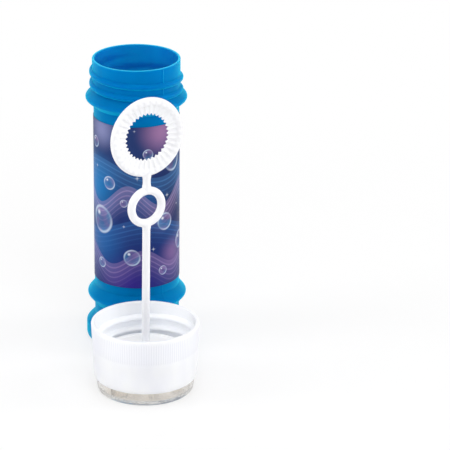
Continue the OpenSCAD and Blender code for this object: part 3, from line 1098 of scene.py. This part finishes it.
def steel():
    """Polished steel with worn patches and fine scratches."""
    s = material("ball_steel")
    place = s.place()
    wear = s.noise(place, WEAR_SCALE, detail=4.0)
    scratch = s.noise(s.stretched(place, SCRATCH_STRETCH), SCRATCH_SCALE)
    base = s.mix(s.span(wear, *WEAR_SPAN), STEEL_DARK, STEEL_LIGHT)
    shader = s.add("BsdfPrincipled", Base_Color=base, Metallic=1.0, Normal=s.bump(scratch))
    s.put(shader, "Roughness", s.span(wear, *NOISE_SPAN, STEEL_ROUGH, STEEL_WORN_ROUGH))
    return s.finish(shader)


# The print, drawn in millimetres. It repeats round the sleeve, and 0 is the left end of the front repeat.
FILM_REPEATS = 2
FILM_FOOT = colour(26, 46, 116)
FILM_HEAD = colour(38, 58, 110)
# Soft glows: place across and up, radius, colour, strength
FILM_GLOWS = (
    (22, 0, 17, (58, 42, 140), 0.9),
    (42, 34, 26, (18, 36, 84), 0.95),
    (5, 38, 17, (8, 122, 192), 0.95),
    (8, 16, 15, (22, 92, 160), 0.9),
    (9, 60, 10, (146, 150, 196), 0.8),
    (33, 60, 11, (160, 118, 162), 0.9),
    (39, 12, 8, (150, 112, 164), 0.6),
    (26, 34, 11, (30, 84, 150), 0.7),
)
# Ribbons of light: height, swing, waves in a repeat, phase, colour, strength
FILM_RIBBONS = (
    (46, 3.2, 1, 0.6, (86, 150, 212), 0.5),
    (36, 4.0, 2, 2.6, (196, 168, 214), 0.55),
    (24, 3.4, 1, 4.4, (66, 130, 202), 0.5),
    (12, 3.0, 2, 1.2, (184, 152, 206), 0.5),
)
RIBBON_DEPTH = 13.0
RIBBON_LINE = 0.45
RIBBON_LINES_APART = 1.9
RIBBON_GAP_SHARE = 0.45
# Four-pointed glints: place across and up, reach
FILM_GLINTS = (
    (16, 57, 2.6), (36, 35, 2.0), (6, 45, 1.6), (24, 43, 2.2),
    (30, 15, 1.8), (19, 24, 1.4), (42, 30, 1.3), (23, 61, 1.2),
)
# Soap bubbles: place across and up, radius
FILM_BUBBLES = (
    (9, 25, 5.4), (39, 48, 4.4), (13, 40, 2.6), (35, 25, 3.4), (5, 54, 2.2), (28, 52, 2.0),
    (22, 12, 3.2), (45, 15, 3.6), (34, 6, 1.8), (19, 33, 1.5), (45, 60, 2.0), (9, 8, 2.0),
)
# A bubble's rim light, its width, the body's edge, the shine and the shine's place, in shares of the radius
BUBBLE_RIM_SHARE = 0.9
BUBBLE_RIM_W_SHARE = 0.16
BUBBLE_BODY_SHARE = 0.94
BUBBLE_SHINE_SHARE = 0.26
BUBBLE_SHINE_PLACE_SHARES = (-0.34, 0.42)
# Direction in which the rim is brightest, on both sides, where it fades, and the share of light left
BUBBLE_LIGHT = (-0.6, 0.8)
BUBBLE_SLANT_SHARES = (0.1, 0.95)
BUBBLE_DIM_SHARE = 0.25
# Share of tint in a bubble's middle and at its edge
BUBBLE_CORE_SHARE = 0.25
BUBBLE_EDGE_SHARE = 0.9
BUBBLE_BLUE = colour(96, 168, 214)
BUBBLE_LILAC = colour(186, 150, 204)
BUBBLE_RIM = colour(206, 222, 240)
FILM_LIGHT = colour(240, 246, 252)
FILM_SPECK = colour(30, 34, 60)
# How strongly each layer of the print shows
BODY_SHARE = 0.38
RIM_SHARE = 0.8
LIGHT_SHARE = 0.9
SPECK_SHARE = 0.12
# Waves in a millimetre of the print's noises, and its gloss
BUBBLE_TINT_SCALE = 0.22
BUBBLE_TINT_SPAN = (0.35, 0.65)
SPECK_SCALE = 6.0
FILM_WAVE_SCALE = 1.2
FILM_WAVE_DEPTH = 0.0002
FILM_GLOSS_SCALE = 0.6
FILM_ROUGH_LOW = 0.36
FILM_ROUGH_HIGH = 0.46
FILM_SPECULAR = 0.09


def soft_spot(s, place, middle, radius):
    """1 in the middle of a round spot, fading to 0 at its radius."""
    return s.span(s.vector("DISTANCE", place, (*middle, 0.0)), radius, 0.0)


def film_wrap(s, place, middle, repeat):
    """Place measured across from a middle, the shorter way round the repeat."""
    across, up, _ = s.axes(place)
    wrap = s.add("Math", {"operation": "WRAP"})
    s.put(wrap, "0", s.math("SUBTRACT", across, middle))
    s.put(wrap, "1", repeat / 2)
    s.put(wrap, "2", -repeat / 2)
    return s.add("CombineXYZ", X=wrap.outputs[0], Y=up).outputs[0]


def film_glows(s, base, place, repeat):
    """Soft round glows over a colour."""
    for x, y, r, shade, strength in FILM_GLOWS:
        spot = soft_spot(s, film_wrap(s, place, x, repeat), (0.0, y), r)
        base = s.mix(s.math("MULTIPLY", spot, strength), base, colour(*shade))
    return base


def film_ribbons(s, base, across, up, repeat):
    """Waving ribbons over a colour, each with a lit upper edge and fine lines that fade below it."""
    for height, swing, waves, phase, shade, strength in FILM_RIBBONS:
        angle = s.math("ADD", s.math("MULTIPLY", across, TAU * waves / repeat), phase)
        edge = s.math("ADD", s.math("MULTIPLY", s.math("SINE", angle), swing), height)
        below = s.math("SUBTRACT", edge, up)
        fade = s.math("MULTIPLY", s.span(below, 0.0, RIBBON_LINE), s.span(below, RIBBON_DEPTH, 0.0))
        comb = s.math("PINGPONG", below, RIBBON_LINES_APART / 2)
        lines = s.span(comb, RIBBON_LINE, 0.0, RIBBON_GAP_SHARE, 1.0)
        base = s.mix(s.math("MULTIPLY", s.math("MULTIPLY", fade, lines), strength), base, colour(*shade))
    return base


def film_bubbles(s, place):
    """Shares of rim light, body tint and shine of all the print's soap bubbles."""
    rims, bodies, shines = 0.0, 0.0, 0.0
    for x, y, r in FILM_BUBBLES:
        middle = (x, y, 0.0)
        gap = s.vector("DISTANCE", place, middle)
        light = (BUBBLE_LIGHT[0] / r, BUBBLE_LIGHT[1] / r, 0.0)
        slant = s.math("ABSOLUTE", s.vector("DOT_PRODUCT", s.vector("SUBTRACT", place, middle), light))
        off_rim = s.math("ABSOLUTE", s.math("SUBTRACT", gap, r * BUBBLE_RIM_SHARE))
        edge = s.span(off_rim, r * BUBBLE_RIM_W_SHARE, 0.0)
        rim = s.math("MULTIPLY", edge, s.span(slant, *BUBBLE_SLANT_SHARES, BUBBLE_DIM_SHARE, 1.0))
        tint = s.span(gap, 0.0, r, BUBBLE_CORE_SHARE, BUBBLE_EDGE_SHARE)
        body = s.math("MULTIPLY", s.span(gap, r, r * BUBBLE_BODY_SHARE), tint)
        across, up = BUBBLE_SHINE_PLACE_SHARES
        shine = soft_spot(s, place, (x + across * r, y + up * r), r * BUBBLE_SHINE_SHARE)
        rims = s.math("MAXIMUM", rims, rim)
        bodies = s.math("MAXIMUM", bodies, body)
        shines = s.math("MAXIMUM", shines, shine)
    return rims, bodies, shines


def film_glints(s, place):
    """Share of light of the four-pointed glints."""
    light = 0.0
    for x, y, reach in FILM_GLINTS:
        off = s.vector("ABSOLUTE", s.vector("SUBTRACT", place, (x, y, 0.0)), (0.0, 0.0, 0.0))
        across, up, _ = s.axes(off)
        spread = s.math("ADD", s.math("SQRT", across), s.math("SQRT", up))
        light = s.math("MAXIMUM", light, s.span(spread, math.sqrt(reach), 0.0))
    return light


def printed_film():
    """Waving ribbons, soap bubbles and glints in navy, azure, mauve and lilac, printed on glossy film."""
    s = material("printed_film")
    width = TAU * SLEEVE_OUT_R
    height = SLEEVE_HIGH.z - SLEEVE_LOW.z
    repeat = width / FILM_REPEATS
    flat = s.stretched(s.place("UV"), (width, height, 1.0))
    around, up, _ = s.axes(flat)
    across = s.math("MODULO", s.math("ADD", around, repeat / 2), repeat)
    place = s.add("CombineXYZ", X=across, Y=up).outputs[0]

    base = s.mix(s.span(up, 0.0, height), FILM_FOOT, FILM_HEAD)
    base = film_glows(s, base, place, repeat)
    base = film_ribbons(s, base, across, up, repeat)
    rims, bodies, shines = film_bubbles(s, place)
    patches = s.span(s.noise(flat, BUBBLE_TINT_SCALE, detail=2.0), *BUBBLE_TINT_SPAN)
    tint = s.mix(patches, BUBBLE_BLUE, BUBBLE_LILAC)
    base = s.mix(s.math("MULTIPLY", bodies, BODY_SHARE), base, tint)
    base = s.mix(s.math("MULTIPLY", rims, RIM_SHARE), base, BUBBLE_RIM)
    base = s.mix(s.math("MULTIPLY", shines, LIGHT_SHARE), base, FILM_LIGHT)
    base = s.mix(s.math("MULTIPLY", film_glints(s, place), LIGHT_SHARE), base, FILM_LIGHT)
    specks = s.span(s.noise(flat, SPECK_SCALE, detail=2.0), *NOISE_SPAN, 0.0, SPECK_SHARE)
    base = s.mix(specks, base, FILM_SPECK)

    waves = s.bump(s.noise(flat, FILM_WAVE_SCALE, detail=2.0), FILM_WAVE_DEPTH)
    gloss = s.span(s.noise(flat, FILM_GLOSS_SCALE), *NOISE_SPAN, FILM_ROUGH_LOW, FILM_ROUGH_HIGH)
    shader = s.add("BsdfPrincipled", Base_Color=base, Roughness=gloss, Normal=waves)
    s.put(shader, "Specular IOR Level", FILM_SPECULAR)
    return s.finish(shader)


def dress(obj, *finishes):
    """Gives an object its materials, in the order of its faces' material numbers."""
    for finish in finishes:
        obj.data.materials.append(finish)


# Stage, in metres

MIDDLE = Vector((0.0, CAP_Y / 2, BOTTLE_H / 2)) * MM
FLOOR_R = 3.0
FLOOR_COLUMNS = 96
PAPER_DARK = colour(246, 246, 246)
PAPER_LIGHT = colour(250, 250, 250)
PAPER_SCALE = 40.0
# The floor shows as white paper, less so near the object, where it keeps the shadow
SHADOW_NEAR = 0.06
SHADOW_REACH = 0.3
SHADOW_GLOW_SHARE = 0.7
WORLD_LIGHT = 0.33
# Softboxes, aimed at the object's middle: place, width and height, power
SOFTBOXES = {
    "left_softbox": ((-0.75, -0.1, 0.4), (0.35, 0.8), 2.65),
    "right_softbox": ((0.8, -0.05, 0.4), (0.35, 0.8), 2.75),
    "front_softbox": ((0.15, -0.95, 0.85), (0.8, 0.8), 6.3),
    "top_softbox": ((0.0, -0.1, 1.0), (0.7, 0.7), 1.6),
    "back_softbox": ((-0.1, 0.95, 0.7), (0.8, 0.8), 3.0),
}
# The photograph's camera: direction, distance and aim, and a long lens
CAMERA_AZIMUTH = math.radians(-5.29)
CAMERA_ELEVATION = math.radians(21.33)
CAMERA_ROLL = math.radians(0.452)
CAMERA_DISTANCE = 1.1114
CAMERA_AIM = Vector((0.03242, -0.003, 0.0439))
CAMERA_LENS = 240.8
CAMERA_SENSOR_W = 36.0
CAMERA_CLIP = 0.01


def seen_directly(s):
    """1 for rays that show a surface as a picture: from the camera, through glass or in a reflection."""
    path = s.add("LightPath")
    seen = s.math("MAXIMUM", path.outputs["Is Camera Ray"], path.outputs["Is Transmission Ray"])
    return s.math("MAXIMUM", seen, path.outputs["Is Glossy Ray"])


def floor_paper():
    """Pale paper, which glows white where it is seen away from the object."""
    s = material("floor_paper")
    place = s.place()
    lit = s.add("BsdfDiffuse", Color=s.mix(s.noise(place, PAPER_SCALE), PAPER_DARK, PAPER_LIGHT))
    glow = s.add("Emission", Strength=1.0)
    away = s.vector("DISTANCE", place, (MIDDLE.x, MIDDLE.y, 0.0))
    share = s.span(away, SHADOW_NEAR, SHADOW_REACH, SHADOW_GLOW_SHARE, 1.0)
    return s.finish(s.mix_shader(s.math("MULTIPLY", seen_directly(s), share), lit, glow))


def make_floor():
    """A round floor under the object."""
    verts, faces, _ = lathe([Vector((0, 0)), Vector((FLOOR_R, 0))], FLOOR_COLUMNS)
    mesh = bpy.data.meshes.new("floor")
    mesh.from_pydata(verts, [], faces)
    mesh.flip_normals()
    floor = bpy.data.objects.new("floor", mesh)
    bpy.context.scene.collection.objects.link(floor)
    dress(floor, floor_paper())


def make_world():
    """Soft light from all round, seen as a white background."""
    world = bpy.data.worlds.new("studio")
    bpy.context.scene.world = world
    s = Shader(world)
    light = s.add("Background", Color=WHITE, Strength=WORLD_LIGHT)
    shown = s.add("Background", Color=WHITE, Strength=1.0)
    s.finish(s.mix_shader(seen_directly(s), light, shown), "OutputWorld")


def softbox(name, place, size, power):
    """A rectangular lamp that faces the object's middle."""
    data = bpy.data.lights.new(name, "AREA")
    data.shape = "RECTANGLE"
    data.size, data.size_y = size
    data.energy = power
    lamp = bpy.data.objects.new(name, data)
    lamp.location = place
    lamp.rotation_euler = (MIDDLE - Vector(place)).to_track_quat("-Z", "Y").to_euler()
    bpy.context.scene.collection.objects.link(lamp)


def make_camera():
    """The camera of the photograph."""
    data = bpy.data.cameras.new("camera")
    data.sensor_width = CAMERA_SENSOR_W
    data.lens = CAMERA_LENS
    data.clip_start = CAMERA_CLIP
    camera = bpy.data.objects.new("camera", data)
    back = Vector((
        math.sin(CAMERA_AZIMUTH) * math.cos(CAMERA_ELEVATION),
        -math.cos(CAMERA_AZIMUTH) * math.cos(CAMERA_ELEVATION),
        math.sin(CAMERA_ELEVATION),
    ))
    camera.location = CAMERA_AIM + CAMERA_DISTANCE * back
    turn = (-back).to_track_quat("-Z", "Y").to_matrix()
    camera.rotation_euler = (turn @ Matrix.Rotation(CAMERA_ROLL, 3, "Z")).to_euler()
    bpy.context.scene.collection.objects.link(camera)
    bpy.context.scene.camera = camera


make_camera()
make_world()
make_floor()
for box_name, box in SOFTBOXES.items():
    softbox(box_name, *box)

dress(make_bottle(), bottle_outside(), bottle_inside())
dress(make_sleeve(), printed_film())
dress(make_cap(), cap_white())
dress(make_seal(), seal_white())
dress(make_wand(), wand_white())
dress(make_lens(), clear_plastic())
dress(make_plate(), plate_white())
ball_finish = steel()
for ball in ("ball_1", "ball_2"):
    dress(make_ball(ball), ball_finish)

bpy.context.scene.view_settings.view_transform = "Standard"
